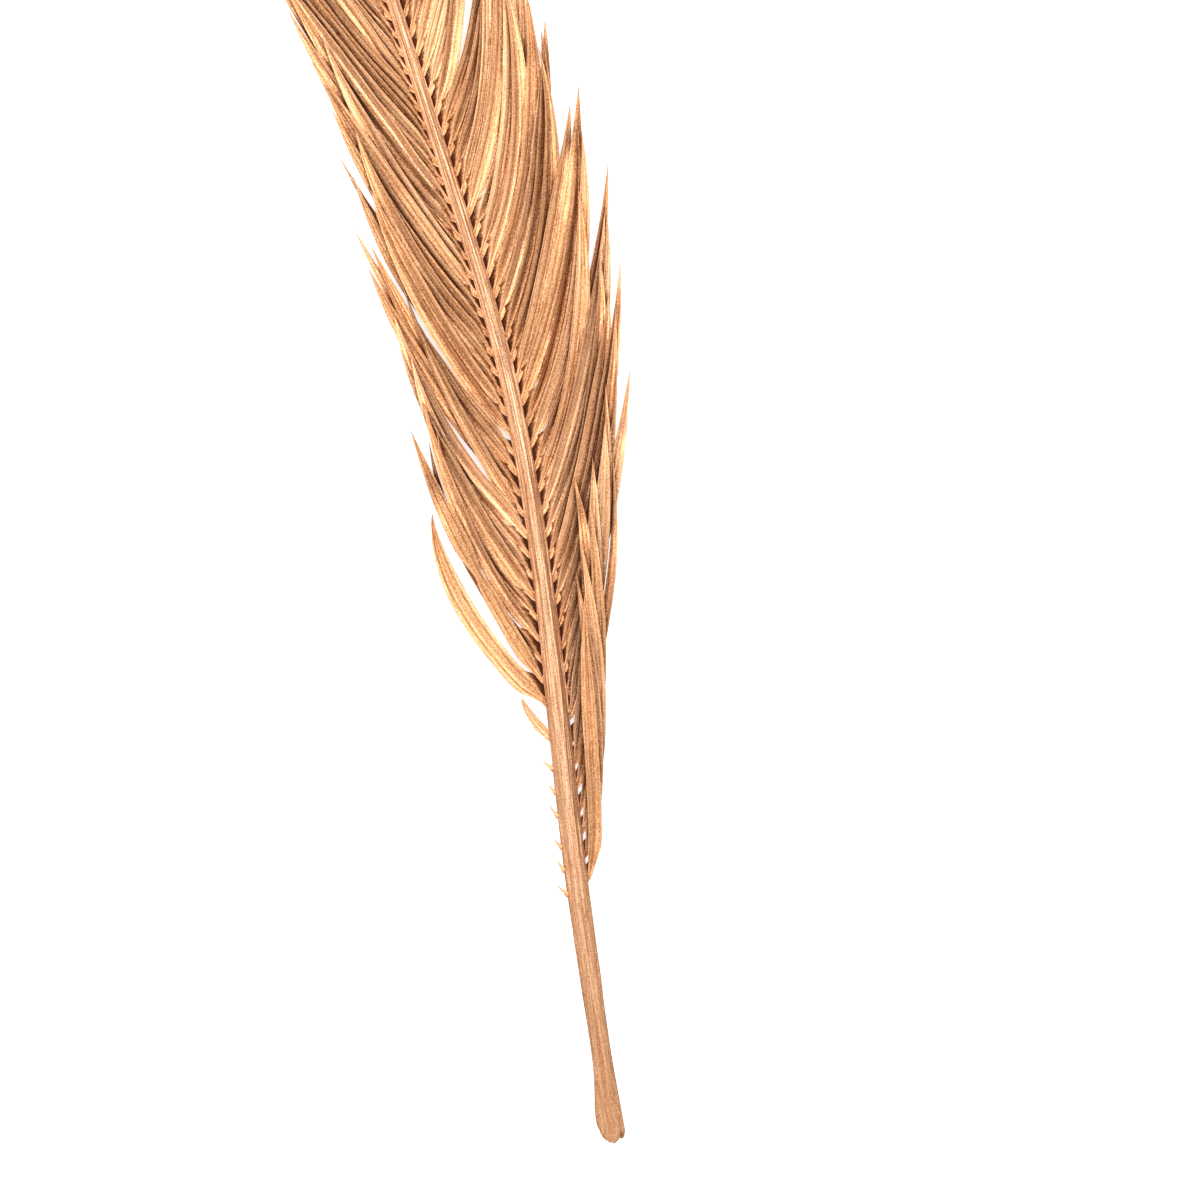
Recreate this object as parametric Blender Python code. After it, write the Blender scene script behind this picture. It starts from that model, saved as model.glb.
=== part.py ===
"""Dried date palm frond, cut and lying face up. Metres, +Z up, +Y from the cut base to the tip.

The stalk (the rachis, with its leafless petiole) leans and bends to -X and arches a little off the
surface. Leaflets leave both flanks at a small angle. Each one lies on the leaflets further up the
stalk, so they are laid one by one, from the tip down, each coming to rest on what is already there.
Three neighbouring leaflets share a strip of stalk skin and make one piece.
"""

import math

import bmesh
import bpy
import numpy as np
from mathutils import Vector

# Stalk: distance from the cut end, with its heading left of +Y, width, thickness and underside height.
RACHIS_LENGTH = 0.690
HEADING_DEG = ((0.0, 7.5), (0.090, 8.0), (0.160, 5.8), (0.220, 7.0), (0.290, 10.5), (0.340, 15.0),
               (0.390, 17.5), (0.480, 17.5), (0.690, 21.0))
WIDTH = ((0.0, 0.0113), (0.025, 0.0083), (0.075, 0.0088), (0.115, 0.0102), (0.170, 0.0100),
         (0.218, 0.0088), (0.310, 0.0074), (0.386, 0.0062), (0.480, 0.0056), (0.690, 0.0016))
THICKNESS = ((0.0, 0.0078), (0.030, 0.0066), (0.110, 0.0068), (0.218, 0.0064), (0.386, 0.0048),
             (0.480, 0.0042), (0.690, 0.0014))
UNDERSIDE = ((0.0, 0.0), (0.060, 0.0040), (0.120, 0.0072), (0.180, 0.0086), (0.240, 0.0088),
             (0.400, 0.0070), (0.550, 0.0036), (0.690, 0.0012))
CUT_LENGTH, CUT_SHARE = 0.0028, 0.55

# The stalk's top is flattened below and comes to a keel above: the power that shapes its roof.
KEEL_START, KEEL_FULL = 0.150, 0.330
FLAT_ROOF, KEELED_ROOF = 2.6, 1.1
STALK_RINGS, RING_CROWDING = 46, 1.15
RING_POINTS = 12

# Leaflets: the pairs run from the lowest leaflet, at 0, to the last below the tip, at 1. They leave
# the stalk at one angle and bend to another by their tips, rise at first, and sag from there.
LEAFLETS_PER_PIECE = 3
CROWDING = 0.12
FULL_LENGTH = 0.126
FULL_WIDTH = 0.0066
WIDTH_POWER = 0.6
SIDES = {
    "left": dict(
        sign=-1.0, first=0.184, last=0.684, pieces=21, seed=11, rise=0.006,
        leave=((0.0, 42.0), (0.05, 36.0), (0.15, 31.0), (0.40, 26.5), (1.0, 24.0)),
        end=((0.0, 10.0), (0.15, 12.0), (0.40, 13.0), (1.0, 11.0)),
        length=((0.0, 0.087), (0.06, 0.097), (0.20, 0.110), (0.38, 0.119), (0.55, 0.117), (1.0, 0.058)),
        sag=((0.0, 0.022), (0.10, 0.012), (0.30, 0.004), (1.0, 0.004))),
    "right": dict(
        sign=1.0, first=0.109, last=0.686, pieces=22, seed=23, rise=0.006,
        leave=((0.0, 13.0), (0.12, 22.0), (0.22, 30.0), (0.40, 36.0), (1.0, 28.0)),
        end=((0.0, 1.0), (0.12, 7.0), (0.25, 11.0), (0.40, 10.0), (1.0, 9.0)),
        length=((0.0, 0.118), (0.10, 0.126), (0.40, 0.128), (0.55, 0.123), (1.0, 0.060)),
        sag=((0.0, 0.001), (0.20, 0.006), (0.40, 0.017), (0.75, 0.013), (1.0, 0.008))),
}
BEND_POWER, SAG_POWER = 1.15, 1.7
TILT, FOOT_TWIST, TIP_TWIST = 27.0, 6.0, 5.0
LEAVE_SPREAD, END_SPREAD, TILT_SPREAD = 2.0, 1.9, 6.0
LENGTH_SPREAD, WIDTH_SPREAD = 0.065, 0.10

# A blade: its narrow foot opens to the full width by FOOT_END, and narrows again from POINT_START.
FOOT_SHARE, FOOT_END = 0.46, 0.13
POINT_START, POINT_POWER = 0.42, 1.9
BLADE_THICKNESS = 0.00036
FOLD_SHARE = 0.05
LAY_GAP = 0.00028
SECTIONS = (0.05, 0.12, 0.22, 0.36, 0.52, 0.69, 0.85)

# The strip of skin that three feet stand on, clear of the stalk's own skin.
SKIN_GAP = 0.0003
STRIP_DEPTH = 0.0009
STRIP_HEIGHT = 0.0016
FOOT_LENGTH = 0.0026
FOOT_LIFT = 0.06

# The lowest left leaflets are reduced to a broken stub and a row of spines, by distance from the cut.
STUB = dict(station=0.169, leave=30.0, end=36.0, length=0.0190, width=0.0056, tilt=20.0, rise=0.0, sag=0.0)
TERMINAL = dict(leave=2.0, end=-3.0, length=0.052, width=0.0036, tilt=12.0, rise=0.0004, sag=0.0)
TERMINAL_FOOT = 0.9
SPINE_STATIONS = (0.102, 0.112, 0.122, 0.135, 0.145, 0.155)
SPINE_LENGTH = 0.0065
SPINE_RADIUS = 0.0007
SPINE_ANGLE = 38.0
SPINE_RISE = 0.12

# Laying the leaflets: samples along one, and the height map of what already lies there.
UP = np.array((0.0, 0.0, 1.0))
PATH_SAMPLES = 64
EASING_REACH, EASING_PASSES = 3, 4
MAP_CELL = 0.0005
MAP_LOW = np.array((-0.300, -0.020))
MAP_SHAPE = (820, 1700)


def smooth_through(points, at):
    """A cubic curve through (distance, value) pairs, read at the given distances."""
    stations, values = np.array(points).T
    slopes = np.gradient(values, stations)
    k = np.clip(np.searchsorted(stations, at, side="right") - 1, 0, len(stations) - 2)
    span = stations[k + 1] - stations[k]
    u = np.clip((at - stations[k]) / span, 0.0, 1.0)
    return (values[k] * (1 + 2 * u) * (1 - u) ** 2 + slopes[k] * span * u * (1 - u) ** 2
            + values[k + 1] * (3 - 2 * u) * u ** 2 - slopes[k + 1] * span * (1 - u) * u ** 2)


def ease(low, high, at):
    """0 up to low, 1 from high on, and a smooth step between."""
    u = np.clip((at - low) / (high - low), 0.0, 1.0)
    return u * u * (3 - 2 * u)


def centre_line():
    """The stalk's centre at every millimetre: its heading summed up, at half its thickness."""
    along = np.linspace(0.0, RACHIS_LENGTH, int(RACHIS_LENGTH * 1000) + 1)
    heading = np.radians(smooth_through(HEADING_DEG, along))
    step = np.diff(along)
    x = np.concatenate(([0.0], np.cumsum(-np.sin(heading[1:]) * step)))
    y = np.concatenate(([0.0], np.cumsum(np.cos(heading[1:]) * step)))
    z = smooth_through(UNDERSIDE, along) + smooth_through(THICKNESS, along) / 2
    return along, np.stack((x, y, z), axis=1), heading


ALONG, CENTRES, HEADINGS = centre_line()


def stalk_at(station):
    """Centre, forward direction and the level direction to +X, at distances from the cut end."""
    centre = np.stack([np.interp(station, ALONG, CENTRES[:, axis]) for axis in range(3)], axis=-1)
    heading = np.interp(station, ALONG, HEADINGS)
    forward = np.stack((-np.sin(heading), np.cos(heading), 0 * heading), axis=-1)
    across = np.stack((np.cos(heading), np.sin(heading), 0 * heading), axis=-1)
    return centre, forward, across


def stations_of(side):
    """Where a side's leaflets leave the stalk: a little closer together towards the tip."""
    u = np.linspace(0.0, 1.0, side["pieces"] * LEAFLETS_PER_PIECE)
    return u, side["first"] + (side["last"] - side["first"]) * ((1 + CROWDING) * u - CROWDING * u * u)


def blade_width(t, width):
    """A narrow foot that soon opens to the full width, and a long point."""
    foot = FOOT_SHARE + (1 - FOOT_SHARE) * ease(0.0, FOOT_END, t)
    point = 1.0 - np.clip((t - POINT_START) / (1 - POINT_START), 0.0, 1.0) ** POINT_POWER
    return width * foot * point


def flank(station, sign, depth):
    """The place where a leaflet's foot meets the stalk's flank, depth outside the stalk's skin."""
    centre, forward, across = stalk_at(station)
    out = smooth_through(WIDTH, station) / 2 + depth
    lift = smooth_through(THICKNESS, station) * FOOT_LIFT
    return centre + across * (sign * out)[..., None] + UP * lift[..., None]


def plan_of(start, forward, outer, leave, end, length, width, tilt, rise, sag):
    """One leaflet before it is laid: its path, level outward directions, widths and tilts along it."""
    t = np.linspace(0.0, 1.0, PATH_SAMPLES)
    angle = np.radians(end + (leave - end) * (1 - t) ** BEND_POWER)[:, None]
    going = forward * np.cos(angle) + outer * np.sin(angle)
    steps = (going[1:] + going[:-1]) / 2 * (length / (PATH_SAMPLES - 1))
    path = start + np.concatenate((np.zeros((1, 3)), np.cumsum(steps, axis=0)))
    path[:, 2] += rise * (length / FULL_LENGTH) * (1 - (1 - t) ** 2) - sag * t ** SAG_POWER
    tilts = np.radians(tilt + FOOT_TWIST * (1 - ease(0.0, 0.3, t)) + TIP_TWIST * ease(0.5, 1.0, t))
    return dict(t=t, path=path, outward=outer * np.cos(angle) - forward * np.sin(angle),
                widths=blade_width(t, width), tilts=tilts)


def leaflet_plans(side):
    """The plans of all of one side's leaflets, from the lowest to the last, each a little different."""
    u, stations = stations_of(side)
    draw = np.random.default_rng(side["seed"])
    leave = smooth_through(side["leave"], u) + draw.normal(0.0, LEAVE_SPREAD, len(u))
    end = smooth_through(side["end"], u) + draw.normal(0.0, END_SPREAD, len(u))
    length = smooth_through(side["length"], u) * (1 + draw.normal(0.0, LENGTH_SPREAD, len(u)))
    width = FULL_WIDTH * (length / FULL_LENGTH) ** WIDTH_POWER * (1 + draw.normal(0.0, WIDTH_SPREAD, len(u)))
    tilt = TILT + draw.normal(0.0, TILT_SPREAD, len(u))
    sag = smooth_through(side["sag"], u)
    plans = []
    for i, station in enumerate(stations):
        start = flank(station, side["sign"], SKIN_GAP + STRIP_DEPTH)
        _, forward, across = stalk_at(station)
        plans.append(plan_of(start, forward, across * side["sign"], leave[i], end[i], length[i],
                             width[i], tilt[i], side["rise"], sag[i]))
    return plans


def sections_of(plan, at):
    """A leaflet's path, outward directions, widths and tilts, read at other shares of its length."""
    return dict(
        path=np.stack([np.interp(at, plan["t"], plan["path"][:, k]) for k in range(3)], axis=1),
        outward=np.stack([np.interp(at, plan["t"], plan["outward"][:, k]) for k in range(3)], axis=1),
        widths=np.interp(at, plan["t"], plan["widths"]),
        tilts=np.interp(at, plan["t"], plan["tilts"]))


def map_cells(points):
    """The cells of the height map that level positions fall in."""
    cells = ((points[..., :2] - MAP_LOW) / MAP_CELL).astype(int)
    return cells[..., 0], cells[..., 1]


def blade_points(plan, shares, lifts):
    """Points over a blade: shares run from -1 at the inner edge to 1 at the outer, lifts off its plane."""
    half = plan["widths"][:, None] / 2 * shares[None, :]
    cos, sin = np.cos(plan["tilts"])[:, None], np.sin(plan["tilts"])[:, None]
    fold = np.abs(shares)[None, :] * plan["widths"][:, None] * FOLD_SHARE + lifts
    points = plan["path"][:, None, :] + plan["outward"][:, None, :] * (half * cos + fold * sin)[..., None]
    points[..., 2] += -half * sin + fold * cos
    return points


def settle(plan, heights):
    """Raise a leaflet where its free height would pass through the surface or a leaflet under it."""
    shares = np.linspace(-1.0, 1.0, 9)
    under = blade_points(plan, shares, -BLADE_THICKNESS / 2 * (1 - np.abs(shares)))
    need = (heights[map_cells(under)] + LAY_GAP - under[..., 2]).max(axis=1)
    lift = np.clip(need, 0.0, None)
    padded = np.pad(lift, EASING_REACH, mode="edge")
    lift = np.max([padded[k:k + len(lift)] for k in range(2 * EASING_REACH + 1)], axis=0)
    for _ in range(EASING_PASSES):
        padded = np.pad(lift, 1, mode="edge")
        lift = (padded[:-2] + 2 * padded[1:-1] + padded[2:]) / 4
    plan["path"][:, 2] += lift * ease(0.0, 0.08, plan["t"])


def lay(plans):
    """Lay a side's leaflets from the tip of the frond down, each on the ones before it."""
    heights = np.full(MAP_SHAPE, -LAY_GAP)
    fine = np.linspace(0.0, 1.0, 6 * PATH_SAMPLES)
    shares = np.linspace(-1.0, 1.0, 25)
    for plan in reversed(plans):
        settle(plan, heights)
        top = blade_points(sections_of(plan, fine), shares, BLADE_THICKNESS / 2 * (1 - np.abs(shares)))
        np.maximum.at(heights, map_cells(top), top[..., 2])
    return plans


def leaflet_corners(plan):
    """Four corners at each section: outer edge, top of the midrib, inner edge, underside of the midrib."""
    shares = np.array((1.0, 0.0, -1.0, 0.0))
    lifts = np.array((0.0, BLADE_THICKNESS / 2, 0.0, -BLADE_THICKNESS / 2))
    return blade_points(sections_of(plan, np.array(SECTIONS)), shares, lifts)


class Shell:
    """Corner points and faces of one closed body, joined ring by ring."""

    def __init__(self):
        self.points, self.faces = [], []

    def ring(self, corners):
        first = len(self.points)
        self.points.extend(tuple(corner) for corner in corners)
        return list(range(first, len(self.points)))

    def join(self, low, high, flip=False):
        count = len(low)
        for k in range(count):
            face = (low[k], low[(k + 1) % count], high[(k + 1) % count], high[k])
            self.faces.append(face[::-1] if flip else face)

    def point(self, ring, tip, flip=False):
        end = self.ring([tip])[0]
        for k in range(len(ring)):
            face = (ring[k], ring[(k + 1) % len(ring)], end)
            self.faces.append(face[::-1] if flip else face)

    def cap(self, ring):
        self.faces.append(tuple(ring))


def add_part(name, shell, material, collection):
    """Make the mesh object for one piece."""
    mesh = bpy.data.meshes.new(name)
    mesh.from_pydata(shell.points, [], shell.faces)
    mesh.validate()
    mesh.materials.append(material)
    mesh.shade_smooth()
    mesh.set_sharp_from_angle(angle=math.radians(40.0))
    part = bpy.data.objects.new(name, mesh)
    collection.objects.link(part)
    return part


def painted(name, colour, roughness):
    """A satin metallic paint."""
    material = bpy.data.materials.new(name)
    material.use_nodes = True
    shader = material.node_tree.nodes["Principled BSDF"]
    shader.inputs["Base Color"].default_value = (*colour, 1.0)
    shader.inputs["Metallic"].default_value = 0.6
    shader.inputs["Roughness"].default_value = roughness
    return material


def stalk_ring(station, scale=1.0):
    """One section of the stalk: a rounded underside, and a top that is broad below and keeled above."""
    centre, _, across = stalk_at(station)
    half_width = smooth_through(WIDTH, station) / 2 * scale
    half_height = smooth_through(THICKNESS, station) / 2 * scale
    turn = np.linspace(0.0, 2 * math.pi, RING_POINTS, endpoint=False)
    roof = FLAT_ROOF + (KEELED_ROOF - FLAT_ROOF) * ease(KEEL_START, KEEL_FULL, station)
    top = half_height * (1 - np.abs(np.cos(turn)) ** roof)
    under = -half_height * np.abs(np.sin(turn))
    height = np.where(np.sin(turn) >= 0, top, under)
    return centre + across * (half_width * np.cos(turn))[:, None] + UP * height[:, None]


def make_stalk(material, collection):
    """The petiole and rachis in one: rings along the centre line, closed over the cut end and the tip."""
    shell = Shell()
    stations = RACHIS_LENGTH * np.linspace(0.0, 1.0, STALK_RINGS) ** RING_CROWDING
    rings = [shell.ring(stalk_ring(station)) for station in stations]
    for low, high in zip(rings, rings[1:]):
        shell.join(low, high, flip=True)
    cut = stalk_ring(0.0, scale=CUT_SHARE) - np.array((0.0, CUT_LENGTH, 0.0))
    end = shell.ring(cut)
    shell.join(end, rings[0], flip=True)
    shell.cap(end)
    shell.cap(rings[-1][::-1])
    return add_part("rachis", shell, material, collection)


def strip_ring(station, sign):
    """One section of the strip of skin that neighbouring leaflets share, against the stalk's flank."""
    inner = flank(station, sign, SKIN_GAP)
    outer = flank(station, sign, SKIN_GAP + STRIP_DEPTH)
    half = UP * STRIP_HEIGHT / 2
    return inner - half, inner + half, outer + half, outer - half


def make_leaflets(name, plans, stations, sign, material, collection):
    """Neighbouring leaflets on one strip: each blade is lofted from its foot on the strip to its point."""
    shell = Shell()
    feet = np.sort(np.concatenate((stations - FOOT_LENGTH / 2, stations + FOOT_LENGTH / 2)))
    rings = [shell.ring(strip_ring(np.array(foot), sign)) for foot in feet]
    flip = sign < 0
    outer_face = 2
    for k, (low, high) in enumerate(zip(rings, rings[1:])):
        for face in range(4):
            quad = (low[face], low[(face + 1) % 4], high[(face + 1) % 4], high[face])
            if face == outer_face and k % 2 == 0:
                foot = [low[3], low[2], high[2], high[3]]
                grow(shell, foot, plans[k // 2], flip)
            else:
                shell.faces.append(quad if not flip else quad[::-1])
    shell.cap(rings[0][::-1] if not flip else rings[0])
    shell.cap(rings[-1] if not flip else rings[-1][::-1])
    return add_part(name, shell, material, collection)


def grow(shell, foot, plan, flip):
    """Loft one blade from the four corners of its foot."""
    rings = [foot] + [shell.ring(corners) for corners in leaflet_corners(plan)]
    for low, high in zip(rings, rings[1:]):
        shell.join(low, high, flip=not flip)
    shell.point(rings[-1], plan["path"][-1], flip=not flip)


def make_blade(name, plan, foot, sign, material, collection):
    """A blade that stands alone, on a small four-cornered foot."""
    shell = Shell()
    base = shell.ring(foot)
    shell.cap(base if sign > 0 else base[::-1])
    grow(shell, base, plan, sign < 0)
    return add_part(name, shell, material, collection)


def make_stub(material, collection):
    """The short broken leaflet below the lowest left one."""
    shape = dict(STUB)
    station = np.array(shape.pop("station"))
    _, forward, across = stalk_at(station)
    start = flank(station, -1.0, SKIN_GAP + FOOT_LENGTH / 4)
    plan = plan_of(start, forward, -across, **shape)
    half = forward * FOOT_LENGTH / 2
    high = UP * STRIP_HEIGHT / 2
    foot = (start - half, start + high, start + half, start - high)
    return make_blade("leaflet_stub", plan, foot, -1.0, material, collection)


def make_terminal(material, collection):
    """The last leaflet, which goes straight on from the stalk's tip."""
    centre, forward, across = stalk_at(np.array(RACHIS_LENGTH))
    start = centre + forward * SKIN_GAP
    plan = plan_of(start, forward, across, **TERMINAL)
    reach = stalk_ring(RACHIS_LENGTH, scale=TERMINAL_FOOT) - centre
    foot = start + reach[::RING_POINTS // 4]
    return make_blade("leaflet_terminal", plan, foot, 1.0, material, collection)


def make_spine(number, station, material, collection):
    """One spine: a sharp cone that leans up the stalk from its left edge."""
    mesh = bpy.data.meshes.new(f"spine_{number}")
    cone = bmesh.new()
    bmesh.ops.create_cone(cone, cap_ends=True, segments=6, radius1=SPINE_RADIUS, radius2=0.0,
                          depth=SPINE_LENGTH)
    bmesh.ops.translate(cone, verts=cone.verts, vec=(0.0, 0.0, SPINE_LENGTH / 2))
    cone.to_mesh(mesh)
    cone.free()
    mesh.materials.append(material)
    station = np.array(station)
    _, forward, across = stalk_at(station)
    angle = math.radians(SPINE_ANGLE)
    aim = forward * math.cos(angle) - across * math.sin(angle) + UP * SPINE_RISE
    spine = bpy.data.objects.new(f"spine_{number}", mesh)
    spine.location = flank(station, -1.0, SKIN_GAP + SPINE_RADIUS)
    spine.rotation_euler = Vector(aim).to_track_quat("Z", "Y").to_euler()
    collection.objects.link(spine)
    return spine


def stand_at_origin(parts):
    """Put the origin under the middle of the whole frond, level with the lowest point."""
    bpy.context.view_layer.update()
    corners = np.array([part.matrix_world @ vertex.co for part in parts for vertex in part.data.vertices])
    low, high = corners.min(axis=0), corners.max(axis=0)
    shift = Vector(((low[0] + high[0]) / 2, (low[1] + high[1]) / 2, low[2]))
    for part in parts:
        part.location -= shift


def main():
    for old in list(bpy.data.objects):
        bpy.data.objects.remove(old, do_unlink=True)
    frond = bpy.data.collections.new("date_palm_frond")
    bpy.context.scene.collection.children.link(frond)
    stalk_paint = painted("copper_stalk", (0.62, 0.34, 0.17), 0.45)
    leaf_paint = painted("copper_leaflet", (0.60, 0.31, 0.14), 0.42)
    parts = [make_stalk(stalk_paint, frond)]
    for side_name, side in SIDES.items():
        plans = lay(leaflet_plans(side))
        _, stations = stations_of(side)
        for piece in range(side["pieces"]):
            own = slice(piece * LEAFLETS_PER_PIECE, (piece + 1) * LEAFLETS_PER_PIECE)
            name = f"leaflets_{side_name}_{piece + 1:02d}"
            parts.append(make_leaflets(name, plans[own], stations[own], side["sign"], leaf_paint, frond))
    parts.append(make_stub(leaf_paint, frond))
    parts.append(make_terminal(leaf_paint, frond))
    for number, station in enumerate(SPINE_STATIONS, start=1):
        parts.append(make_spine(number, station, leaf_paint, frond))
    stand_at_origin(parts)


main()
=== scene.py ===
"""A dried palm frond sprayed satin copper, cut and lying face up on a pale studio floor.

Metres, +Z up, +Y from the cut base to the tip. Each piece stands for the CAD node it is named after and
grows from the same stalk at the same places. Its blades are fuller than the node's and lie on each other,
and it adds the ribs, folds, fibres, webs and ragged ends.
"""

import math

import bpy
import numpy as np
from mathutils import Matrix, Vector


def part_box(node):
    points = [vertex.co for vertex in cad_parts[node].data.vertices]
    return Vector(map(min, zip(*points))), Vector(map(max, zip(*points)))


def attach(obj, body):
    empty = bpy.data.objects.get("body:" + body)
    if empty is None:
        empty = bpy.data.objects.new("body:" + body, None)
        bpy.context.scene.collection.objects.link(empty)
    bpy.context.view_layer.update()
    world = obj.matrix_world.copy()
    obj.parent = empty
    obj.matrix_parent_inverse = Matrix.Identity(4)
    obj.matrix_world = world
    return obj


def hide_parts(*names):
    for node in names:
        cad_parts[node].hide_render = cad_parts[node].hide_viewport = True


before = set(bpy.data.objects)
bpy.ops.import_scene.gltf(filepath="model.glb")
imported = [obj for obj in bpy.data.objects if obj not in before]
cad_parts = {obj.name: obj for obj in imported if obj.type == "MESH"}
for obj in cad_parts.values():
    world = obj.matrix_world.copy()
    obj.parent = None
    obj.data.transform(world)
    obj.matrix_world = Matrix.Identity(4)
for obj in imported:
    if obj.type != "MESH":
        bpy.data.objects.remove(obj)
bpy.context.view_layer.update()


# ---------------------------------------------------------------------------------------------------
# The stalk: petiole, flared cut end and rachis, one grown piece of hard fibrous wood. It is broad and
# flattened below and comes to a sharp keel above. It was cut off with a knife, dried, and sprayed.
# ---------------------------------------------------------------------------------------------------

# By distance from the cut end: heading left of +Y in degrees, width, thickness, height of the underside.
STALK_LENGTH = 0.690
HEADING = ((0.0, 7.5), (0.090, 8.0), (0.160, 5.8), (0.220, 7.0), (0.290, 10.5), (0.340, 15.0),
           (0.390, 17.5), (0.480, 17.5), (0.690, 21.0))
WIDTH = ((0.0, 0.0113), (0.025, 0.0083), (0.075, 0.0087), (0.115, 0.0091), (0.170, 0.0089),
         (0.218, 0.0082), (0.310, 0.0070), (0.386, 0.0059), (0.480, 0.0054), (0.690, 0.0016))
THICKNESS = ((0.0, 0.0078), (0.030, 0.0066), (0.110, 0.0068), (0.218, 0.0064), (0.386, 0.0048),
             (0.480, 0.0042), (0.690, 0.0014))
UNDERSIDE = ((0.0, 0.0), (0.060, 0.0040), (0.120, 0.0072), (0.180, 0.0086), (0.240, 0.0088),
             (0.400, 0.0070), (0.550, 0.0036), (0.690, 0.0012))
KEEL_START, KEEL_FULL = 0.150, 0.330
FLAT_ROOF, KEELED_ROOF = 2.6, 1.1
KEEL_OFFSET = 0.16

# The cut: how long its rounded end is, the share of the section left at it, and how ragged it is.
CUT_LENGTH, END_SHARE, RAGGED = 0.0028, 0.80, 0.22
# How far it stands up the stalk from a square end, by share from the left edge to the right.
CUT_SLANT = ((-1.0, 0.0108), (-0.85, 0.0062), (-0.60, 0.0002), (-0.30, -0.0026), (0.00, -0.0034),
             (0.30, -0.0026), (0.60, -0.0004), (0.72, 0.0020), (0.85, 0.0012), (1.0, 0.0004))
SLANT_FADE = 0.034
NODE_END_SHARE = 0.55

# The skin: rings and points, the fibres round it, the groove and where it runs, and the swellings below
# the leaflets.
STALK_RINGS, STALK_POINTS, RING_CROWDING = 520, 180, 1.08
STALK_FIBRES, FIBRE_HEIGHT = (9, 14, 19, 23, 29, 37, 46), 0.0034
GROOVE_DEPTH, GROOVE_SHARE, GROOVE_HALF = 0.0005, 0.16, 0.09
GROOVE_IN, GROOVE_OUT = (0.060, 0.085), (0.115, 0.150)
SWELLING, SWELLING_ABOVE, SWELLING_BELOW, PETIOLE_WIDTH = 0.00022, 0.0012, 0.0034, 0.0090

# Where the leaflets stand on it, on each side: first and last station, and how many.
LEFT_FEET, RIGHT_FEET = (0.184, 0.684, 63), (0.109, 0.686, 66)
CROWDING = 0.12
UP = np.array((0.0, 0.0, 1.0))


def smooth_through(points, at):
    """A cubic Hermite curve through (distance, value) pairs, with slopes from the neighbouring pairs."""
    stations, values = np.array(points).T
    slopes = np.gradient(values, stations)
    k = np.clip(np.searchsorted(stations, at, side="right") - 1, 0, len(stations) - 2)
    span = stations[k + 1] - stations[k]
    u = np.clip((at - stations[k]) / span, 0.0, 1.0)
    return (values[k] * (1 + 2 * u) * (1 - u) ** 2 + slopes[k] * span * u * (1 - u) ** 2
            + values[k + 1] * (3 - 2 * u) * u ** 2 - slopes[k + 1] * span * (1 - u) * u ** 2)


def ease(low, high, at):
    """0 up to low, 1 from high on, and the smooth step 3u^2 - 2u^3 between."""
    u = np.clip((at - low) / (high - low), 0.0, 1.0)
    return u * u * (3 - 2 * u)


def bump(at, middle, half):
    """The bell curve exp(-((at - middle) / half)^2)."""
    return np.exp(-((at - middle) / half) ** 2)


def centre_line():
    """The stalk's centre at every millimetre: the heading summed up, at half the thickness."""
    along = np.linspace(0.0, STALK_LENGTH, int(STALK_LENGTH * 1000) + 1)
    heading = np.radians(smooth_through(HEADING, along))
    step = np.diff(along)
    x = np.concatenate(([0.0], np.cumsum(-np.sin(heading[1:]) * step)))
    y = np.concatenate(([0.0], np.cumsum(np.cos(heading[1:]) * step)))
    z = smooth_through(UNDERSIDE, along) + smooth_through(THICKNESS, along) / 2
    return along, np.stack((x, y, z), axis=1), heading


# The node's lowest point, at its rounded end, and the right edge of its flare place the centre line.
low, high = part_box("rachis")
base_half = WIDTH[0][1] / 2
base_heading = math.radians(HEADING[0][1])
ORIGIN = np.array((high[0] - base_half * math.cos(base_heading),
                   low[1] + CUT_LENGTH + NODE_END_SHARE * base_half * math.sin(base_heading), low[2]))
ALONG, CENTRES, HEADINGS = centre_line()
CENTRES = CENTRES + ORIGIN


def stalk_at(station):
    """Centre, forward direction and level direction to +X, read off the centre line at a station."""
    centre = np.stack([np.interp(station, ALONG, CENTRES[:, axis]) for axis in range(3)], axis=-1)
    heading = np.interp(station, ALONG, HEADINGS)
    forward = np.stack((-np.sin(heading), np.cos(heading), 0 * heading), axis=-1)
    across = np.stack((np.cos(heading), np.sin(heading), 0 * heading), axis=-1)
    return centre, forward, across


def feet(first, last, count):
    """Stations of a side's leaflets: evenly spaced, drawn a little closer together towards the tip."""
    u = np.linspace(0.0, 1.0, count)
    return u, first + (last - first) * ((1 + CROWDING) * u - CROWDING * u * u)


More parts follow.
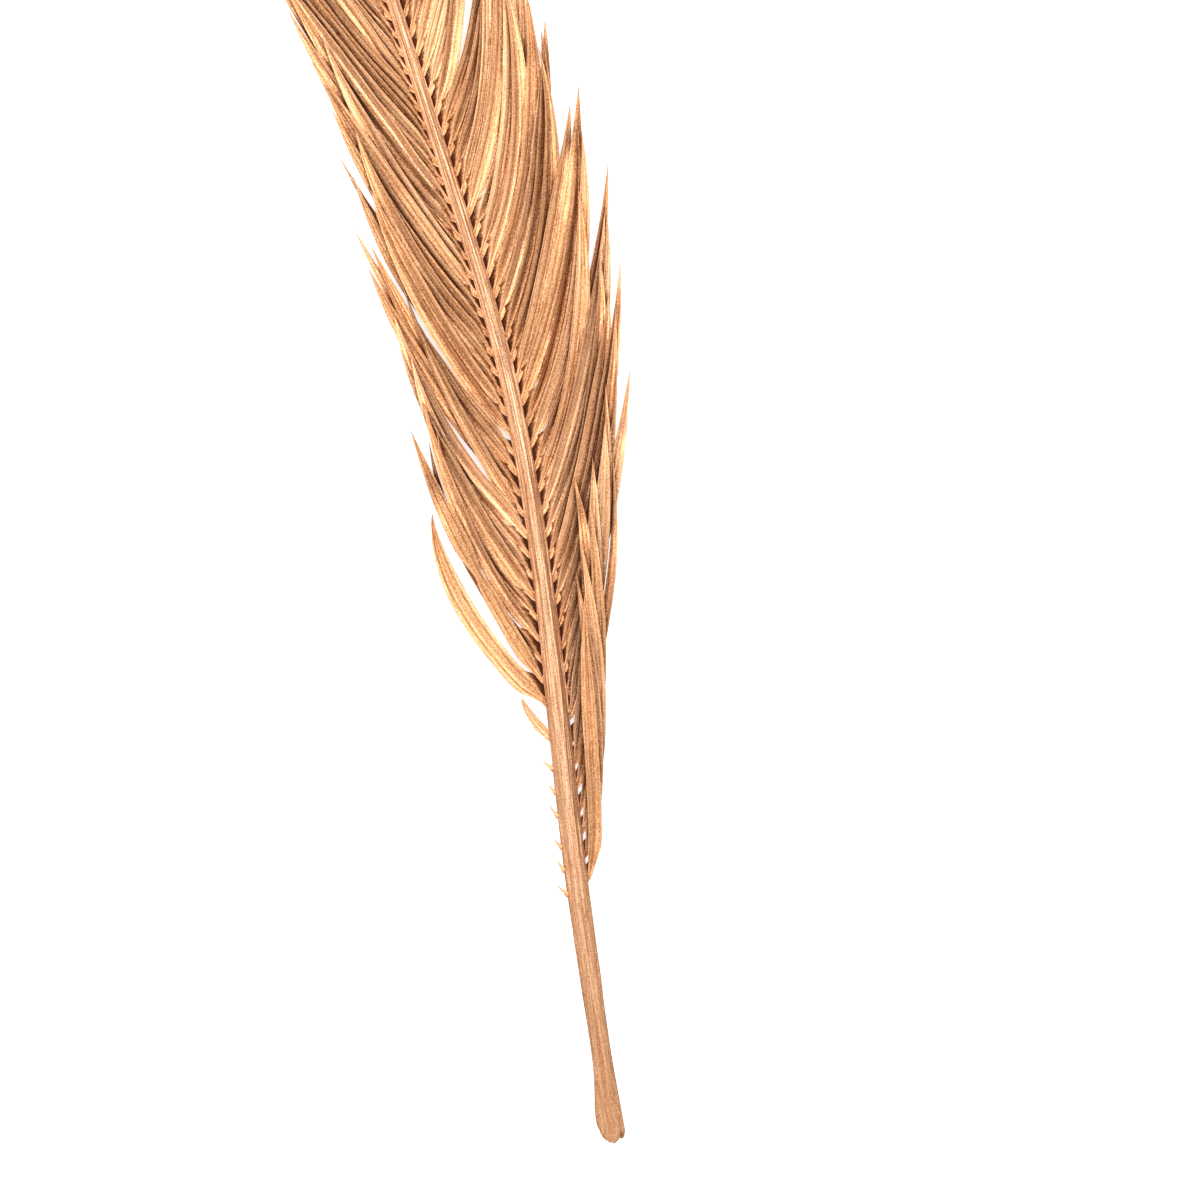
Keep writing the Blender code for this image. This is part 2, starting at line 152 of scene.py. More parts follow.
def stalk_relief(station, turn):
    """How far the skin stands off the plain section: wavering lengthwise fibres, summed from cosines of
    the turn over their number, less one long bell-shaped groove right of the middle, plus a swelling at
    each foot, a bell that is short above it and long below."""
    draw = np.random.default_rng(5)
    relief = 0.0 * station * turn
    for fibres in STALK_FIBRES:
        waver = draw.uniform(0.6, 1.6) * np.sin(station * draw.uniform(25.0, 60.0) + draw.uniform(0.0, 6.0))
        strength = 0.5 + 0.5 * np.sin(station * draw.uniform(40.0, 110.0) + turn * draw.integers(1, 4))
        relief += strength * np.cos(fibres * turn + waver + draw.uniform(0.0, 6.0)) / fibres
    relief *= FIBRE_HEIGHT * smooth_through(WIDTH, station) / WIDTH[0][1]
    share = np.cos(turn)
    groove = ease(*GROOVE_IN, station) * (1 - ease(*GROOVE_OUT, station)) * (np.sin(turn) > 0)
    relief -= GROOVE_DEPTH * groove * bump(share, GROOVE_SHARE, GROOVE_HALF)
    for sign, rows in ((-1.0, LEFT_FEET), (1.0, RIGHT_FEET)):
        _, stations = feet(*rows)
        above = station[..., None] - stations
        reach = np.where(above > 0, SWELLING_ABOVE, SWELLING_BELOW)
        swelling = bump(above, 0.0, reach).max(axis=-1)
        on_flank = ease(0.55, 1.0, sign * share)
        relief += SWELLING * swelling * on_flank * smooth_through(WIDTH, station) / PETIOLE_WIDTH
    return relief


def stalk_surface(station, turn):
    """The skin at each station and turn, as centre, level direction, distance out along it, and height.
    The underside is half an ellipse. The roof is 1 - |share|^p of the half thickness, with p falling
    from flat to keeled up the stalk, where the keel leans off the middle. The relief is added outwards."""
    centre, _, across = stalk_at(station)
    half_width = smooth_through(WIDTH, station) / 2
    half_height = smooth_through(THICKNESS, station) / 2
    keel = ease(KEEL_START, KEEL_FULL, station)
    share = np.cos(turn)
    leaned = share - KEEL_OFFSET * keel * (1 - share ** 2)
    top = half_height * (1 - np.abs(leaned) ** (FLAT_ROOF + (KEELED_ROOF - FLAT_ROOF) * keel))
    height = np.where(np.sin(turn) >= 0, top, -half_height * np.abs(np.sin(turn)))
    relief = stalk_relief(station, turn)
    out = half_width * share + relief * share
    height = height + relief * np.sin(turn)
    return centre, across, out, height


def closed_shell(grid, along, around, coats):
    """A closed shell over a grid of rings by points. Quads join the rings, and a fan on the mean of each
    last ring closes each end. along and around, one column wider, are distances for the grain; coats
    are the named values at each point. The faces are turned outwards by the sign of the volume, and
    nothing goes below the floor."""
    rings, points = grid.shape[:2]
    index = np.arange(rings * points).reshape(rings, points)
    index = np.concatenate((index, index[:, :1]), axis=1)
    first, last = rings * points, rings * points + 1
    ends = np.stack((grid[0].mean(axis=0), grid[-1].mean(axis=0)))
    vertices = np.concatenate((grid.reshape(-1, 3), ends))
    quads = np.stack((index[:-1, :-1], index[:-1, 1:], index[1:, 1:], index[1:, :-1]), axis=-1)
    quads = quads.reshape(-1, 4)
    grain = np.stack((along, around), axis=-1)
    quad_grain = np.stack((grain[:-1, :-1], grain[:-1, 1:], grain[1:, 1:], grain[1:, :-1]), axis=-2)
    quad_grain = quad_grain.reshape(-1, 4, 2)
    start = np.stack((np.full(points, first), index[0, 1:], index[0, :-1]), axis=-1)
    end = np.stack((np.full(points, last), index[-1, :-1], index[-1, 1:]), axis=-1)
    start_grain = np.stack(((grain[0, 1:] + grain[0, :-1]) / 2, grain[0, 1:], grain[0, :-1]), axis=-2)
    end_grain = np.stack(((grain[-1, 1:] + grain[-1, :-1]) / 2, grain[-1, :-1], grain[-1, 1:]), axis=-2)
    triangles = np.concatenate((start, end))
    shell = dict(vertices=vertices, quads=quads, quad_grain=quad_grain, triangles=triangles,
                 triangle_grain=np.concatenate((start_grain, end_grain)))
    middle = vertices.mean(axis=0)
    halves = np.concatenate((quads[:, (0, 1, 2)], quads[:, (0, 2, 3)], triangles))
    a, b, c = (vertices[halves[:, k]] - middle for k in range(3))
    if np.einsum("ij,ij->i", a, np.cross(b, c)).sum() < 0:
        for faces in ("quads", "quad_grain", "triangles", "triangle_grain"):
            shell[faces] = shell[faces][:, ::-1]
    shell["vertices"][:, 2] = np.maximum(shell["vertices"][:, 2], 0.0)
    shell["coats"] = {name: np.concatenate((value.ravel(), (value[0].mean(), value[-1].mean())))
                      for name, value in coats.items()}
    return shell


def make_piece(name, shells, material):
    """One piece from its closed shells, joined end to end in one mesh. It stands for the CAD node name."""
    starts = np.cumsum([0] + [len(shell["vertices"]) for shell in shells])
    quads = np.concatenate([shell["quads"] + start for shell, start in zip(shells, starts)])
    triangles = np.concatenate([shell["triangles"] + start for shell, start in zip(shells, starts)])
    mesh = bpy.data.meshes.new(name)
    mesh.vertices.add(starts[-1])
    mesh.vertices.foreach_set("co", np.concatenate([shell["vertices"] for shell in shells]).ravel())
    corners = np.concatenate((quads.ravel(), triangles.ravel()))
    mesh.loops.add(len(corners))
    mesh.loops.foreach_set("vertex_index", corners)
    face_starts = np.concatenate((np.arange(len(quads)) * 4,
                                  len(quads) * 4 + np.arange(len(triangles)) * 3))
    mesh.polygons.add(len(face_starts))
    mesh.polygons.foreach_set("loop_start", face_starts)
    grain = np.concatenate([shell["quad_grain"].ravel() for shell in shells]
                           + [shell["triangle_grain"].ravel() for shell in shells])
    mesh.uv_layers.new(name="grain").data.foreach_set("uv", grain)
    for coat in shells[0]["coats"]:
        values = np.concatenate([shell["coats"][coat] for shell in shells])
        mesh.attributes.new(coat, "FLOAT", "POINT").data.foreach_set("value", values)
    mesh.update(calc_edges=True)
    mesh.validate()
    mesh.shade_smooth()
    mesh.materials.append(material)
    piece = bpy.data.objects.new(name + "_dry", mesh)
    bpy.context.scene.collection.objects.link(piece)
    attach(piece, "root")
    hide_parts(name)
    return piece


METALLIC, ROUGHNESS = 0.62, 0.38
STREAKS_ALONG, STREAKS_ACROSS, FIBRES_ALONG, FLAKE_SCALE = 28.0, 0.45, 90.0, 1600.0
STREAK_SHARE, FIBRE_SHARE, FLAKE_SHARE, LIGHT_TO_COLOUR = 1.2, 2.4, 3.0, 0.55
FLAKE_ROUGHNESS, HOLLOW_ROUGHNESS, RELIEF_SHARE, RELIEF_STRENGTH = 0.30, 0.15, 0.6, 0.9


def copper_spray(name, body, pale, deep, fibre_pitch, fibre_depth):
    """Satin copper paint over dry fibrous plant skin. light is the sum of streaks, fibres and flakes about
    their middles, plus the piece's tone. The colour goes from body to pale by light, the paler marks and
    the painted highlights, and on to deep by painted shade less light. Streaks and fibres follow the
    piece's grain map, flakes its place."""
    material = bpy.data.materials.new(name)
    material.use_nodes = True
    nodes, links = material.node_tree.nodes, material.node_tree.links
    shader = nodes["Principled BSDF"]
    shader.inputs["Metallic"].default_value = METALLIC

    def node(kind, **settings):
        """A new node of a kind, with its settings."""
        made = nodes.new(kind)
        for key, value in settings.items():
            setattr(made, key, value)
        return made

    def math_of(operation, a, b):
        """The operation on a and b, each a number or another node's output."""
        made = node("ShaderNodeMath", operation=operation)
        for socket, value in zip(made.inputs, (a, b)):
            if isinstance(value, (int, float)):
                socket.default_value = value
            else:
                links.new(value, socket)
        return made.outputs[0]

    def noise_of(coordinates, scale, detail, roughness):
        """Noise from 0 to 1 over the coordinates times the scale."""
        mapping = node("ShaderNodeMapping")
        links.new(coordinates, mapping.inputs["Vector"])
        mapping.inputs["Scale"].default_value = scale
        noise = node("ShaderNodeTexNoise")
        links.new(mapping.outputs[0], noise.inputs["Vector"])
        noise.inputs["Scale"].default_value = 1.0
        noise.inputs["Detail"].default_value = detail
        noise.inputs["Roughness"].default_value = roughness
        return noise.outputs["Fac"]

    def mixed(factor, a, b):
        """The colour a, going over to b by the factor."""
        made = node("ShaderNodeMix", data_type="RGBA")
        links.new(factor, made.inputs["Factor"])
        for socket, value in ((made.inputs["A"], a), (made.inputs["B"], b)):
            if isinstance(value, tuple):
                socket.default_value = (*value, 1.0)
            else:
                links.new(value, socket)
        return made.outputs["Result"]

    grain = node("ShaderNodeUVMap", uv_map="grain").outputs["UV"]
    place = node("ShaderNodeTexCoord").outputs["Object"]
    tone = node("ShaderNodeAttribute", attribute_name="tone").outputs["Fac"]
    # Two coats over the random tone: paler marks with painted highlights, then painted shade.
    pale_and_highlight = node("ShaderNodeAttribute", attribute_name="pale_and_highlight").outputs["Fac"]
    painted_shade = node("ShaderNodeAttribute", attribute_name="painted_shade").outputs["Fac"]
    streaks = noise_of(grain, (STREAKS_ALONG, STREAKS_ACROSS / fibre_pitch, 1.0), 3.0, 0.6)
    fibres = noise_of(grain, (FIBRES_ALONG, 1.0 / fibre_pitch, 1.0), 2.0, 0.55)
    flakes = noise_of(place, (FLAKE_SCALE, FLAKE_SCALE, FLAKE_SCALE), 1.0, 0.5)

    light = tone
    for pattern, share in ((streaks, STREAK_SHARE), (fibres, FIBRE_SHARE), (flakes, FLAKE_SHARE)):
        light = math_of("ADD", light, math_of("MULTIPLY", math_of("SUBTRACT", pattern, 0.5), share))
    # Lighter by the grain, the paler marks and the painted highlights; darker by the grain and the painted
    # shade.
    lighter = math_of("ADD", math_of("MULTIPLY", light, LIGHT_TO_COLOUR), pale_and_highlight)
    darker = math_of("ADD", math_of("MULTIPLY", light, -LIGHT_TO_COLOUR), painted_shade)
    lighter, darker = math_of("MAXIMUM", lighter, 0.0), math_of("MAXIMUM", darker, 0.0)
    lighter, darker = math_of("MINIMUM", lighter, 1.0), math_of("MINIMUM", darker, 1.0)
    links.new(mixed(darker, mixed(lighter, body, pale), deep), shader.inputs["Base Color"])

    rough = math_of("ADD", ROUGHNESS, math_of("MULTIPLY", flakes, FLAKE_ROUGHNESS))
    rough = math_of("ADD", rough, math_of("MULTIPLY", darker, HOLLOW_ROUGHNESS))
    links.new(rough, shader.inputs["Roughness"])
    relief = math_of("ADD", math_of("MULTIPLY", fibres, RELIEF_SHARE),
                     math_of("MULTIPLY", flakes, RELIEF_SHARE))
    relief_node = node("ShaderNodeBump")
    relief_node.inputs["Distance"].default_value = fibre_depth
    relief_node.inputs["Strength"].default_value = RELIEF_STRENGTH
    links.new(relief, relief_node.inputs["Height"])
    links.new(relief_node.outputs["Normal"], shader.inputs["Normal"])
    return material


# STALK_PALE is reached by the paler flat top and the painted keel highlight, STALK_DEEP by painted shade.
STALK_BODY, STALK_PALE, STALK_DEEP = (0.550, 0.272, 0.132), (0.86, 0.59, 0.38), (0.19, 0.062, 0.018)
# The width and strength of the painted highlight along the keel, the paler flat top, then painted shade on
# the flanks, underside and pith.
CREST_HALF, KEEL_HIGHLIGHT, FLAT_TOP_PALE = 0.13, 0.75, 0.42
FLANK_SHADE, STALK_UNDER_SHADE, PITH_SHADE = 0.30, 0.25, 0.25
stalk_paint = copper_spray("stalk_copper", STALK_BODY, STALK_PALE, STALK_DEEP,
                           fibre_pitch=0.0006, fibre_depth=0.00012)


def make_stalk():
    """The stalk's skin, slanted at the cut and closed over it. Below station 0 the section shrinks by a
    quarter circle to the end's share, runs out by a different length at each turn, and then folds in to
    the pith. Past the last station it closes by a quarter circle. The keel gets a painted highlight and
    the flat top a paler band, and the flanks, underside and recessed pith get painted shade. Gives back
    the skin and its turns."""
    stations = STALK_LENGTH * np.linspace(0.0, 1.0, STALK_RINGS) ** RING_CROWDING
    turns = np.linspace(0.0, 2 * math.pi, STALK_POINTS, endpoint=False) - math.pi / 2
    station, turn = stations[:, None], turns[None, :]
    centre, across, out, height = stalk_surface(station, turn)
    skin = centre + across * out[..., None] + UP * height[..., None]
    slant = smooth_through(CUT_SLANT, np.cos(turns))[None, :, None]
    forward = stalk_at(np.array(0.0))[1]
    skin = skin + slant * forward * np.clip(1 - station / SLANT_FADE, 0.0, 1.0)[..., None]

    def section(row, shrink):
        """One row's section, shrunk about its centre."""
        level = across[row] * (out[row] * shrink)[..., None]
        return centre[row] + level + UP * (height[row] * shrink)[..., None]

    draw = np.random.default_rng(31)
    ragged = RAGGED * sum(draw.uniform(0.3, 1.0) * np.cos(k * turn + draw.uniform(0.0, 6.0)) / k ** 0.5
                          for k in (2, 3, 5, 8, 13, 21))
    base, tip = slice(0, 1), slice(-1, None)
    cut = []
    for u in np.linspace(0.12, 1.0, 9):
        ring = section(base, END_SHARE + (1 - END_SHARE) * math.sqrt(1 - u * u))
        ring[..., 1] -= CUT_LENGTH * (u + u * ragged)
        cut.append(ring + slant * forward * (1 - 0.5 * u))
    for u in np.linspace(0.85, 0.10, 6):
        ring = section(base, END_SHARE * u)
        ring[..., 1] -= CUT_LENGTH * (1 + u * ragged - 0.25 * (1 - u))
        cut.append(ring + slant * forward * 0.5 * u)
    beyond = stalk_at(np.array(STALK_LENGTH))[1] * 0.0012
    point = [section(tip, math.sqrt(1 - u * u)) + beyond * u for u in np.linspace(0.35, 0.95, 5)]
    grid = np.concatenate(cut[::-1] + [skin] + point)

    full = np.concatenate((np.linspace(-0.004, -0.0002, len(cut)), stations,
                           STALK_LENGTH + np.linspace(0.0002, 0.001, len(point))))
    along = np.clip(full, 0.0, STALK_LENGTH)[:, None]
    share, roofed = np.cos(turn), ease(0.0, 0.4, np.sin(turn))
    # A painted highlight along the keel, and a paler band along the flat top.
    crest = ease(0.25, 0.39, along) * bump(share, KEEL_OFFSET, CREST_HALF) * roofed
    flat_top = (1 - ease(0.30, 0.42, along)) * ease(0.03, 0.12, along)
    flat_top = flat_top * (1 - ease(0.20, 0.55, np.abs(share - 0.05))) * roofed
    # Painted shade on the flanks, the underside and the recessed pith.
    flanks = ease(0.45, 0.95, np.abs(share)) * (1 - 0.4 * roofed)
    pith = (full < -0.001)[:, None] * np.ones_like(turn)
    painted_shade = FLANK_SHADE * flanks * np.ones_like(along) + STALK_UNDER_SHADE * (1 - roofed) + PITH_SHADE * pith
    coats = dict(tone=0.0 * along * share, pale_and_highlight=KEEL_HIGHLIGHT * crest + FLAT_TOP_PALE * flat_top, painted_shade=painted_shade)
    closing = np.concatenate((turn, turn[:, :1] + 2 * math.pi), axis=1)
    around = smooth_through(WIDTH, along) * 0.42 * closing
    shell = closed_shell(grid, full[:, None] + 0 * closing, around, coats)
    make_piece("rachis", [shell], stalk_paint)
    return skin, turns


stalk_grid, stalk_turn = make_stalk()


# ---------------------------------------------------------------------------------------------------
# The leaflets: long stiff blades folded along the midrib, ribbed lengthwise, each on a narrow foot that
# grows out of the stalk's flank. They dried curled and twisted, each lying on the ones further up.
# ---------------------------------------------------------------------------------------------------

LEAFLETS_PER_PIECE = 3
FULL_LENGTH, FULL_WIDTH, WIDTH_POWER = 0.126, 0.0079, 0.6
# Each side's curves run over its feet, from 0 at the lowest to 1 at the last: the angles from the stalk at
# a leaflet's foot and at its tip, in degrees, its length, how far its tip sags, and how likely its web is
# torn open. The odd ones are counted from the lowest, and grew in their own way.
SIDES = {
    "left": dict(
        sign=-1.0, rows=LEFT_FEET, seed=11, rise=0.006,
        leave=((0.0, 42.0), (0.05, 36.0), (0.15, 31.0), (0.40, 26.5), (1.0, 24.0)),
        end=((0.0, 10.0), (0.15, 12.0), (0.40, 13.0), (1.0, 11.0)),
        length=((0.0, 0.087), (0.06, 0.097), (0.20, 0.110), (0.38, 0.119), (0.55, 0.117), (1.0, 0.058)),
        sag=((0.0, 0.022), (0.10, 0.012), (0.30, 0.004), (1.0, 0.004)),
        open_webs=((0.0, 0.05), (1.0, 0.05)),
        odd={0: dict(leave=46.0, end=-5.0, length=0.096, bend=0.62, width=0.0088, tilt=6.0),
             1: dict(leave=29.0, end=10.0, length=0.119, bend=0.90, width=0.0086, waist=0.44),
             2: dict(leave=34.0, end=10.0, length=0.104, width=0.0066),
             3: dict(leave=32.0, end=11.0, length=0.110, width=0.0070),
             5: dict(width=0.0094), 8: dict(width=0.0092)}),
    "right": dict(
        sign=1.0, rows=RIGHT_FEET, seed=23, rise=0.006,
        leave=((0.0, 13.0), (0.12, 22.0), (0.22, 30.0), (0.40, 36.0), (1.0, 28.0)),
        end=((0.0, 1.0), (0.12, 7.0), (0.25, 11.0), (0.40, 10.0), (1.0, 9.0)),
        length=((0.0, 0.118), (0.10, 0.126), (0.40, 0.128), (0.55, 0.123), (1.0, 0.060)),
        sag=((0.0, 0.001), (0.20, 0.006), (0.40, 0.017), (0.75, 0.013), (1.0, 0.008)),
        open_webs=((0.0, 1.0), (0.08, 1.0), (0.12, 0.24), (1.0, 0.24)),
        odd={0: dict(leave=18.0, end=0.0, bend=3.0, width=0.0068),
             1: dict(leave=18.0, end=0.0, bend=2.6, width=0.0066),
             2: dict(leave=20.0, end=0.5, bend=2.2, width=0.0064),
             3: dict(leave=20.0, bend=1.8, width=0.0066)}),
}
BEND_POWER, SAG_POWER = 1.15, 1.7
TILT, FOOT_TWIST, TIP_TWIST = 20.0, -16.0, 5.0
LEAVE_SPREAD, END_SPREAD, TILT_SPREAD = 1.5, 1.7, 6.0
LENGTH_SPREAD, WIDTH_SPREAD = 0.045, 0.10
FOOT_SHARE, FOOT_END = 0.38, 0.125
POINT_START, POINT_POWER = 0.55, 1.7
WAIST_BELOW, WAIST_CUT, WAIST_HALF = 0.22, 0.45, 0.06
BLADE_THICKNESS, MIDRIB, FOOT_SWELL = 0.00034, 0.00022, 0.00030
VALLEY, CREST_SHARE = 0.07, 0.35
FOOT_REACH, FOOT_LIFT = 0.0012, -0.08
FOOT_FOLD, TIP_FOLD = math.radians(30.0), math.radians(14.0)
WEB_LENGTH, WEB_TORN, WEB_WHOLE = 0.0106, 0.40, 1.08
WEB_DROP, WEB_DEPTH, WEB_SAG = 0.40, 0.0006, 0.0007

# What drying does: folds and twists in degrees, and how many close up or twist hard.
FOLD, FOLD_SPREAD, FOLD_RANGE = 18.0, 8.0, (4.0, 38.0)
CLOSED_SHARE, CLOSED_FOLD = 0.14, 24.0
TWIST_SPREAD, TWISTED_SHARE, HARD_TWIST = 13.0, 0.10, 40.0
ARCH, ARCH_SPREAD = 0.035, 0.03
RIBS, RIB_DEPTHS, TONE_SPREAD = (1.1, 1.9), (0.00016, 0.00030), 0.16
BOW_SPREAD, DRIFT_SPREAD, TIP_LIFT = 0.0011, 0.0034, 0.0035

# Laying the leaflets: samples along one, the gap between two, how the lift is eased, and the height map.
PATH_SAMPLES = 64
LAY_GAP = 0.00028
EASING_REACH, EASING_PASSES = 3, 9
MAP_CELL = 0.0005
MAP_LOW = ORIGIN[:2] + np.array((-0.300, -0.020))
MAP_SHAPE = (820, 1700)


def flank(station, sign, depth):
    """The place where a foot meets the stalk's flank: half the width and depth out, a little up."""
    centre, _, across = stalk_at(station)
    out = smooth_through(WIDTH, station) / 2 + depth
    lift = smooth_through(THICKNESS, station) * FOOT_LIFT
    return centre + across * (sign * out)[..., None] + UP * lift[..., None]


def plan_of(start, forward, outer, leave, end, length, width, tilt, rise, sag,
            bend=BEND_POWER, waist=None):
    """A leaflet before it is laid. Its angle from the stalk goes from leave to end by the power bend of what
    is left of it; its path is that direction summed up, raised by a parabola and sagging by a power of
    t. It widens from its foot by a smooth step and narrows to its point by a power. One with a waist is
    a fifth narrower up to it, and about half as wide at it."""
    t = np.linspace(0.0, 1.0, PATH_SAMPLES)
    angle = np.radians(end + (leave - end) * (1 - t) ** bend)[:, None]
    going = forward * np.cos(angle) + outer * np.sin(angle)
    steps = (going[1:] + going[:-1]) / 2 * (length / (PATH_SAMPLES - 1))
    path = start + np.concatenate((np.zeros((1, 3)), np.cumsum(steps, axis=0)))
    path[:, 2] += rise * (length / FULL_LENGTH) * (1 - (1 - t) ** 2) - sag * t ** SAG_POWER
    tilts = np.radians(tilt + FOOT_TWIST * (1 - ease(0.0, 0.14, t)) + TIP_TWIST * ease(0.5, 1.0, t))
    foot = FOOT_SHARE + (1 - FOOT_SHARE) * ease(0.0, FOOT_END, t)
    point = 1.0 - np.clip((t - POINT_START) / (1 - POINT_START), 0.0, 1.0) ** POINT_POWER
    if waist:
        point = point * (1 - WAIST_BELOW * (t < waist)) * (1 - WAIST_CUT * bump(t, waist, WAIST_HALF))
    return dict(t=t, path=path, outward=outer * np.cos(angle) - forward * np.sin(angle),
                widths=width * foot * point, tilts=tilts, length=length)


def dried(plan, draw, sign, station, open_webs=0.0):
    """What drying did to one leaflet: how far it folded, twisted, bowed and drifted sideways, and lifted
    at its tip, with its ribs, the tone of its paint, and its web to the stalk, torn open or whole."""
    t = plan["t"]
    closed = draw.random() < CLOSED_SHARE
    twisted = draw.random() < TWISTED_SHARE
    fold = np.clip(draw.normal(FOLD, FOLD_SPREAD), *FOLD_RANGE)
    plan["fold"] = math.radians(fold + CLOSED_FOLD * closed)
    twist = draw.normal(0.0, TWIST_SPREAD)
    plan["twist"] = math.radians(twist + HARD_TWIST * twisted * draw.choice((-1.0, 1.0)))
    plan["arch"] = draw.normal(ARCH, ARCH_SPREAD)
    plan["ribs"] = draw.uniform(*RIBS)
    plan["rib_depth"] = draw.uniform(*RIB_DEPTHS)
    plan["phase"] = draw.uniform(0.0, math.pi)
    plan["tone"] = draw.normal(0.0, TONE_SPREAD)
    torn = draw.random() < open_webs
    plan["web"] = WEB_LENGTH / plan["length"] * (WEB_TORN if torn else WEB_WHOLE)
    sway = draw.normal(0.0, BOW_SPREAD) * np.sin(math.pi * t) + draw.normal(0.0, DRIFT_SPREAD) * t ** 2
    plan["path"] = plan["path"] + plan["outward"] * (sway * ease(0.05, 0.3, t))[:, None]
    plan["path"][:, 2] += draw.uniform(0.0, TIP_LIFT) * ease(0.55, 1.0, t) ** 2
    plan["sign"], plan["station"] = sign, station
    return plan


def leaflet_plans(side):
    """All of one side's leaflets, from the lowest to the last: the side's curves at each foot, spread by
    normal draws, and wider the longer it is by a power."""
    u, stations = feet(*side["rows"])
    draw = np.random.default_rng(side["seed"])
    leave = smooth_through(side["leave"], u) + draw.normal(0.0, LEAVE_SPREAD, len(u))
    end = smooth_through(side["end"], u) + draw.normal(0.0, END_SPREAD, len(u))
    length = smooth_through(side["length"], u) * (1 + draw.normal(0.0, LENGTH_SPREAD, len(u)))
    spread = 1 + draw.normal(0.0, WIDTH_SPREAD, len(u))
    width = FULL_WIDTH * (length / FULL_LENGTH) ** WIDTH_POWER * spread
    tilt = TILT + draw.normal(0.0, TILT_SPREAD, len(u))
    sag = smooth_through(side["sag"], u)
    open_webs = smooth_through(side["open_webs"], u)
    drying = np.random.default_rng(side["seed"] + 100)
    plans = []
    for i, station in enumerate(stations):
        start = flank(station, side["sign"], FOOT_REACH)
        _, forward, across = stalk_at(station)
        own = dict(leave=leave[i], end=end[i], length=length[i], width=width[i], tilt=tilt[i])
        own.update(side["odd"].get(i, {}))
        plan = plan_of(start, forward, across * side["sign"], rise=side["rise"], sag=sag[i], **own)
        plans.append(dried(plan, drying, side["sign"], station, open_webs[i]))
    return plans


def furrows(plan, off):
    """The narrow furrows between a leaflet's ribs: (1 - |sin|)^3 of the distance from the midrib."""
    return (1 - np.abs(np.sin(math.pi * plan["ribs"] * off + plan["phase"]))) ** 3


def ridges(plan, off):
    """The sharp crests of a leaflet's ribs: |sin|^12 of the distance from the midrib."""
    return np.abs(np.sin(math.pi * plan["ribs"] * off + plan["phase"])) ** 12


def blade_surface(plan, t, shares, face):
    """One face of a leaflet, 1 above and -1 below, over lengths t and shares from -1 at the inner edge to
    1 at the outer. Across the blade: a V whose bottom is rounded, as a hyperbola is, an arch in each
    half, the crests less the furrows, half the thickness to the face's side with the midrib below, and
    the whole turned by the tilt and twist."""
    path = np.stack([np.interp(t, plan["t"], plan["path"][:, k]) for k in range(3)], axis=-1)
    outward = np.stack([np.interp(t, plan["t"], plan["outward"][:, k]) for k in range(3)], axis=-1)
    half = np.interp(t, plan["t"], plan["widths"])[:, None] / 2
    t = t[:, None]
    roll = np.interp(t, plan["t"], plan["tilts"]) + plan["twist"] * ease(0.10, 1.0, t)
    opening = ease(0.0, 0.15, t)
    fold = FOOT_FOLD + (plan["fold"] - FOOT_FOLD) * opening + TIP_FOLD * ease(0.6, 1.0, t)
    share, off = shares[None, :], np.abs(shares)[None, :]
    level = half * share * np.cos(fold)
    rise = half * (np.sqrt(off ** 2 + VALLEY ** 2) - VALLEY) * np.sin(fold)
    rise = rise + plan["arch"] * 2 * half * off * (1 - off)
    rib_room = (1 - off ** 6) * ease(-0.02, 0.04, t) * (1 - ease(0.88, 1.0, t))
    rise = rise + plan["rib_depth"] * (CREST_SHARE * ridges(plan, off) - furrows(plan, off)) * rib_room
    thick = BLADE_THICKNESS / 2 * (1 - off ** 4) * (1 - 0.6 * t)
    thick = thick + FOOT_SWELL * (1 - ease(0.0, 0.06, t)) * np.sqrt(1 - off ** 2)
    if face < 0:
        thick = thick + MIDRIB * bump(off, 0.0, 0.13) * (1 - t)
    rise = rise + face * thick
    points = path[:, None, :] + outward[:, None, :] * (level * np.cos(roll) + rise * np.sin(roll))[..., None]
    points[..., 2] += -level * np.sin(roll) + rise * np.cos(roll)
    return points


def map_cells(points):
    """The cells of the height map that level positions fall in."""
    cells = ((points[..., :2] - MAP_LOW) / MAP_CELL).astype(int)
    return cells[..., 0], cells[..., 1]


def lay(plans):
    """Lay a side's leaflets from the tip down. Each is lifted where it would pass through the floor or a
    leaflet under it, by the most that any place within reach needs, averaged along its length; then its
    own top is written to the height map."""
    heights = np.full(MAP_SHAPE, -LAY_GAP)
    fine, fine_shares = np.linspace(0.0, 1.0, 6 * PATH_SAMPLES), np.linspace(-1.0, 1.0, 25)
    for plan in reversed(plans):
        under = blade_surface(plan, plan["t"], np.linspace(-1.0, 1.0, 13), -1)
        lift = np.clip((heights[map_cells(under)] + LAY_GAP - under[..., 2]).max(axis=1), 0.0, None)
        padded = np.pad(lift, EASING_REACH, mode="edge")
        lift = np.max([padded[k:k + len(lift)] for k in range(2 * EASING_REACH + 1)], axis=0)
        for _ in range(EASING_PASSES):
            padded = np.pad(lift, 1, mode="edge")
            lift = (padded[:-2] + 2 * padded[1:-1] + padded[2:]) / 4
        plan["path"][:, 2] += lift * ease(0.0, 0.08, plan["t"])
        top = blade_surface(plan, fine, fine_shares, 1)
        np.maximum.at(heights, map_cells(top), top[..., 2])
    return heights


# The shelter rings, for painted shade beside and under higher things: how far out and how many
# directions, the step that doesn't count, and the slope that shelters a place fully.
SHELTER_RINGS, SHELTER_STEP, SHELTER_SLOPE = ((0.0008, 8), (0.0016, 12)), 0.0003, 1.1


def shelter(points, heights):
    """How much painted shade a point gets, 0 to 1: over two rings of directions, the mean of the slope up
    to the height map there, as a share of the full slope, and never counted above 1."""
    shaded, count = 0.0, 0
    for reach, directions in SHELTER_RINGS:
        for turn in np.linspace(0.0, 2 * math.pi, directions, endpoint=False):
            beside = points[..., :2] + reach * np.array((math.cos(turn), math.sin(turn)))
            above = heights[map_cells(beside)] - points[..., 2] - SHELTER_STEP
            shaded = shaded + np.clip(above / (SHELTER_SLOPE * reach), 0.0, 1.0)
            count += 1
    return shaded / count
